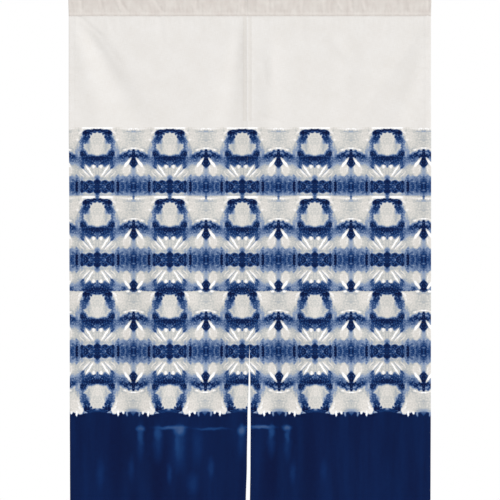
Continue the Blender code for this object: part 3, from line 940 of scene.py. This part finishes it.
def wobble(tree, spot, scale, reach):
    """Moves the chart's lines about, as dye creeps along threads: the same in every mirror."""
    shift = reckon_spot(tree, "SUBTRACT", noise(tree, spot, scale, 2.0)["Color"], (0.5, 0.5, 0.5))
    return reckon_spot(tree, "MULTIPLY_ADD", shift, (reach, reach, 0.0), spot)


def step_past(tree, value, edge, width=0.0):
    """0 before an edge and 1 past it, with a soft step of a given half width."""
    if width == 0.0:
        return reckon(tree, "GREATER_THAN", value, edge)
    return spread(tree, value, edge - width, edge + width, 0.0, 1.0, interpolation_type="SMOOTHSTEP")


def folded_spot(tree, across, drop):
    """Where a point lies on the chart's half repeat, mirrored as the folded cloth was dyed."""
    folded = reckon(tree, "PINGPONG", reckon(tree, "SUBTRACT", across, RING_AXIS), HALF_REPEAT)
    creep = noise(tree, chart_spot(tree, folded, drop), 0.22, 2.0)["Fac"]
    crept = reckon(tree, "MULTIPLY_ADD", creep, ROW_LINE_CREEP, drop)
    second = step_past(tree, drop, ROW_ENDS[0])
    third = step_past(tree, crept, ROW_ENDS[1] + ROW_LINE_CREEP / 2)
    middle = choose(tree, third, choose(tree, second, BAND_MIDDLES[0], BAND_MIDDLES[1]), BAND_MIDDLES[2])
    scale = choose(tree, second, 1.0 / FIRST_ROW_SCALE, 1.0)
    above = reckon(tree, "ABSOLUTE", reckon(tree, "SUBTRACT", middle, drop))
    return folded, third, chart_spot(tree, folded, reckon(tree, "MULTIPLY", above, scale))


def spot_above(tree, folded, drop, line):
    """A point's place on the half repeat, up from a line across the curtain."""
    return wobble(tree, chart_spot(tree, folded, reckon(tree, "SUBTRACT", line, drop)), 0.25, 2.2)


def indigo_with_painted_fold_shade(tree, place):
    """The solid indigo at the foot, streaked down the cloth as it drained, with painted shade in darker
    streaks over its long folds.
    """
    stretched = add(tree, "Mapping", {"Vector": place, "Scale": (0.038, 0.0045, 1.0)})
    streaks = noise(tree, stretched.outputs["Vector"], 1.0, 3.0)["Fac"]
    dye = spread(tree, streaks, 0.3, 0.7, SOLID_INDIGO_DYE - INDIGO_STREAK, SOLID_INDIGO_DYE + INDIGO_STREAK)
    # Painted shade: darker streaks over the long folds of the hanging cloth
    return paint(tree, wobble(tree, place, 0.05, 7.0), dye, PAINTED_FOLD_SHADE_STREAKS)


def printed_dye(tree, across, drop, place):
    """The three mirrored rows, from the undyed cloth above them to the solid indigo below."""
    folded, third, spot = folded_spot(tree, across, drop)
    spot = wobble(tree, spot, 0.11, 3.2)
    spot = wobble(tree, spot, 0.42, 1.5)
    dye = spread(tree, noise(tree, spot, 0.13, 3.0)["Fac"], 0.3, 0.7, *GROUND_DYE)
    dye = paint(tree, spot, dye, PRINT_STROKES)
    dye = choose(tree, third, dye, paint(tree, spot, dye, THIRD_ROW))
    dye = paint(tree, spot_above(tree, folded, drop, ROW_ENDS[1]), dye, THIRD_ROW_SEAM)
    dye = paint(tree, spot_above(tree, folded, drop, ROW_ENDS[0]), dye, SECOND_ROW_SEAM)
    dye = mottled(tree, spot, dye)
    splash_spot = spot_above(tree, folded, drop, PRINT_FOOT)
    frayed = reckon(tree, "MULTIPLY_ADD", noise(tree, splash_spot, 0.16, 2.0)["Fac"], 5.0, drop)
    dye = choose(tree, step_past(tree, frayed, PRINT_FOOT + 1.5, 1.2), dye, indigo_with_painted_fold_shade(tree, place))
    dye = paint(tree, splash_spot, dye, SPLASH)
    return choose(tree, step_past(tree, drop, PRINT_TOP, 1.0), UNDYED_DYE, dye)


def mottled(tree, spot, dye):
    """Dye that took unevenly: more where there is more of it, with light flecks that it missed."""
    patches = noise(tree, spot, 0.34, 3.0, Roughness=0.6)["Fac"]
    uneven = spread(tree, patches, 0.25, 0.75, 1.0 - MOTTLE, 1.0 + MOTTLE)
    grain = noise(tree, spot, 0.21, 2.0, Roughness=0.7)["Fac"]
    shift = spread(tree, grain, 0.0, 1.0, -PALE_MOTTLE, PALE_MOTTLE)
    taken = reckon(tree, "MULTIPLY_ADD", dye, uneven, shift)
    kept = spread(tree, noise(tree, spot, 0.27, 1.0)["Fac"], 0.60, 0.72, 1.0, 1.0 - FLECK)
    return reckon(tree, "MULTIPLY", taken, kept)


def undyed(tree, across, drop, place):
    """The plain cotton over the print, with a faint unevenness of its own, and painted shade and a painted
    highlight along the centre seam.
    """
    blotches = noise(tree, place, 0.02, 3.0)["Fac"]
    dye = spread(tree, blotches, 0.3, 0.7, UNDYED_DYE - 0.006, UNDYED_DYE + 0.006)
    # Painted shade either side of the seam and a painted highlight along it
    return paint(tree, place, dye, SEAM_PAINTED_SHADE_AND_HIGHLIGHT)


def solid_indigo(tree, across, drop, place):
    """The foot of the cloth: indigo with painted shade over its hanging folds, and the marks that the bath
    and the folds left.
    """
    return paint(tree, wobble(tree, place, 0.05, 7.0), indigo_with_painted_fold_shade(tree, place), INDIGO_MARKS)


def relief(tree, shader, height, strength, distance):
    """Fine relief under the light, from a height."""
    raised = add(tree, "Bump", {"Height": height, "Strength": strength, "Distance": distance})
    tree.links.new(raised.outputs["Normal"], shader.inputs["Normal"])


def woven(tree, uv, shader):
    """Plain weave with slubs: a bump of crossing threads and of the odd thicker one."""
    # A wave texture of scale 1 repeats every 2 pi / 20 of the cloth coordinate's metres
    wave_scale = 2 * math.pi / 20 / WEAVE_SPACING
    threads = []
    slubs = []
    for direction, stretch in (("X", (70.0, 1400.0, 1.0)), ("Y", (1400.0, 70.0, 1.0))):
        inputs = {"Vector": uv, "Scale": wave_scale, "Distortion": 0.6, "Detail": 1.0}
        bands = add(tree, "TexWave", inputs, wave_type="BANDS", bands_direction=direction)
        threads.append(bands.outputs["Fac"])
        stretched = add(tree, "Mapping", {"Vector": uv, "Scale": stretch})
        slubs.append(noise(tree, stretched.outputs["Vector"], 1.0, 1.0)["Fac"])
    weave = reckon(tree, "MAXIMUM", *threads)
    slub = reckon(tree, "ADD", *slubs)
    relief(tree, shader, reckon(tree, "MULTIPLY_ADD", weave, 0.5, slub), 0.25, 0.00025)
    return slub


def cotton_shader(shader, roughness=0.92):
    """Cotton is matt, with a faint fuzz that catches light at its edges."""
    shader.inputs["Roughness"].default_value = roughness
    shader.inputs["IOR"].default_value = 1.47
    shader.inputs["Specular IOR Level"].default_value = 0.10
    shader.inputs["Sheen Weight"].default_value = 0.02
    shader.inputs["Sheen Roughness"].default_value = 0.6


def cloth_place(tree):
    """The flat cloth's coordinates in metres, and its place in millimetres across and down."""
    uv = add(tree, "UVMap", {}, uv_map="cloth").outputs["UV"]
    return uv, reckon_spot(tree, "MULTIPLY", uv, (1000.0, -1000.0, 0.0))


def colours(tree, value, stops):
    """The colour of each value, eased between stops."""
    node = add(tree, "ValToRGB", {"Fac": value})
    elements = node.color_ramp.elements
    elements.remove(elements[1])
    elements[0].position = stops[0][0]
    elements[0].color = linear(stops[0][1])
    for position, colour in stops[1:]:
        elements.new(position).color = linear(colour)
    return node.outputs["Color"]


def make_cotton(name, dye_of):
    """Plain-woven cotton with a given dye: soft-edged colour sunk into the thread, no gloss."""
    material, tree, shader = new_material(name)
    uv, place = cloth_place(tree)
    axes = add(tree, "SeparateXYZ", {0: place}).outputs
    thicker = reckon(tree, "SUBTRACT", woven(tree, uv, shader), 1.0)
    dye = reckon(tree, "MULTIPLY_ADD", thicker, SLUB_DYE, dye_of(tree, axes["X"], axes["Y"], place))
    tree.links.new(colours(tree, dye, DYE_RAMP), shader.inputs["Base Color"])
    cotton_shader(shader)
    return material


def make_sleeve_cotton():
    """The same cotton undyed and doubled over the rod channel: its own pale colour made greyer by painted
    shade, for the light that the doubled cloth keeps from coming through.
    """
    material, tree, shader = new_material("undyed_sleeve_cotton")
    uv, place = cloth_place(tree)
    slub = woven(tree, uv, shader)
    tone = reckon(tree, "MULTIPLY_ADD", slub, 0.12, noise(tree, place, 0.05, 3.0)["Fac"])
    # Painted shade: the sleeve's colours are greyer than the panel's undyed cotton
    tree.links.new(colours(tree, tone, SLEEVE_COLOURS_WITH_PAINTED_SHADE), shader.inputs["Base Color"])
    cotton_shader(shader)
    return material


def make_thread():
    """Undyed two-ply cotton sewing thread: twisted, as pale as the sleeve, so it hardly shows."""
    material, tree, shader = new_material("cotton_sewing_thread")
    uv, place = cloth_place(tree)
    plies = noise(tree, place, 0.4, 2.0)["Fac"]
    inputs = {"Vector": uv, "Scale": 500.0, "Distortion": 0.4}
    twist = add(tree, "TexWave", inputs, bands_direction="DIAGONAL")
    relief(tree, shader, twist.outputs["Fac"], 0.4, 0.0001)
    tree.links.new(colours(tree, plies, THREAD_COLOURS), shader.inputs["Base Color"])
    cotton_shader(shader, roughness=0.75)
    return material


def colour_by_drop(piece, dyed_cottons):
    """Gives each face the undyed, the printed or the solid indigo cotton by its drop."""
    for material in dyed_cottons:
        piece.data.materials.append(material)
    mesh = piece.data
    middles = np.empty(len(mesh.polygons) * 3)
    mesh.polygons.foreach_get("center", middles)
    drop = 1000 * (TOP_EDGE - middles[2::3])
    kind = (drop > PRINT_TOP - PRINT_MARGIN).astype(np.int32) + (drop > PRINT_FOOT + PRINT_MARGIN)
    mesh.polygons.foreach_set("material_index", kind)


def make_studio():
    """A pale floor far below the curtain, a white sky, a soft key light and the camera."""
    floor_drop = 2.0
    bpy.ops.object.select_all(action="DESELECT")
    place = (0.0, 0.0, -floor_drop)
    bpy.ops.mesh.primitive_circle_add(vertices=96, radius=3.6, fill_type="NGON", location=place)
    floor = bpy.context.object
    floor.name = "studio_floor"
    material, tree, shader = new_material("pale_floor")
    shader.inputs["Base Color"].default_value = linear("#e6e4e1")
    shader.inputs["Roughness"].default_value = 0.8
    floor.data.materials.append(material)

    scene = bpy.context.scene
    scene.world = bpy.data.worlds.new("white_sky")
    scene.world.use_nodes = True
    sky = scene.world.node_tree.nodes["Background"]
    sky.inputs["Color"].default_value = (1.0, 1.0, 1.0, 1.0)
    sky.inputs["Strength"].default_value = 1.0
    scene.view_settings.view_transform = "Standard"

    light = bpy.data.lights.new("soft_key", "SUN")
    light.angle = math.radians(20)
    light.energy = 1.3
    key = bpy.data.objects.new("soft_key", light)
    key.rotation_euler = (math.radians(58), 0.0, math.radians(52))
    scene.collection.objects.link(key)

    # The photo's frame is 500 px wide and 2.351 mm of the curtain's plane to a pixel
    lens = 100.0
    sensor = 36.0
    frame_width = 500 * 0.002351
    camera_data = bpy.data.cameras.new("front_camera")
    camera_data.lens = lens
    camera_data.sensor_width = sensor
    camera = bpy.data.objects.new("front_camera", camera_data)
    camera.location = (0.0, -frame_width * lens / sensor, -0.600)
    camera.rotation_euler = (math.radians(90), 0.0, 0.0)
    scene.collection.objects.link(camera)
    scene.camera = camera


def dress():
    """Puts the cloth pieces and their sewing in place of the solids."""
    dyed_cottons = [
        make_cotton("undyed_cotton", undyed),
        make_cotton("indigo_printed_cotton", printed_dye),
        make_cotton("solid_indigo_cotton", solid_indigo),
    ]
    sleeve_cotton = make_sleeve_cotton()
    thread = make_thread()
    for side in ("left", "right"):
        heading = make_heading(side)
        heading.data.materials.append(sleeve_cotton)
        heading_seam = heading_stitches(side)
        heading_seam.data.materials.append(thread)
        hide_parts(f"heading_{side}")
        panel = make_panel(side)
        panel_seams = panel_stitches(side)
        # The panels were sewn before they were dyed, so their thread wears the cloth's own dye
        for piece in (panel, panel_seams):
            colour_by_drop(piece, dyed_cottons)
        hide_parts(f"panel_{side}")
        for piece, slot in ((heading, "sleeve_cloth"), (heading_seam, "sleeve_cloth"),
                            (panel, "panel_cloth"), (panel_seams, "panel_cloth")):
            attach(piece, "root")


make_studio()
dress()
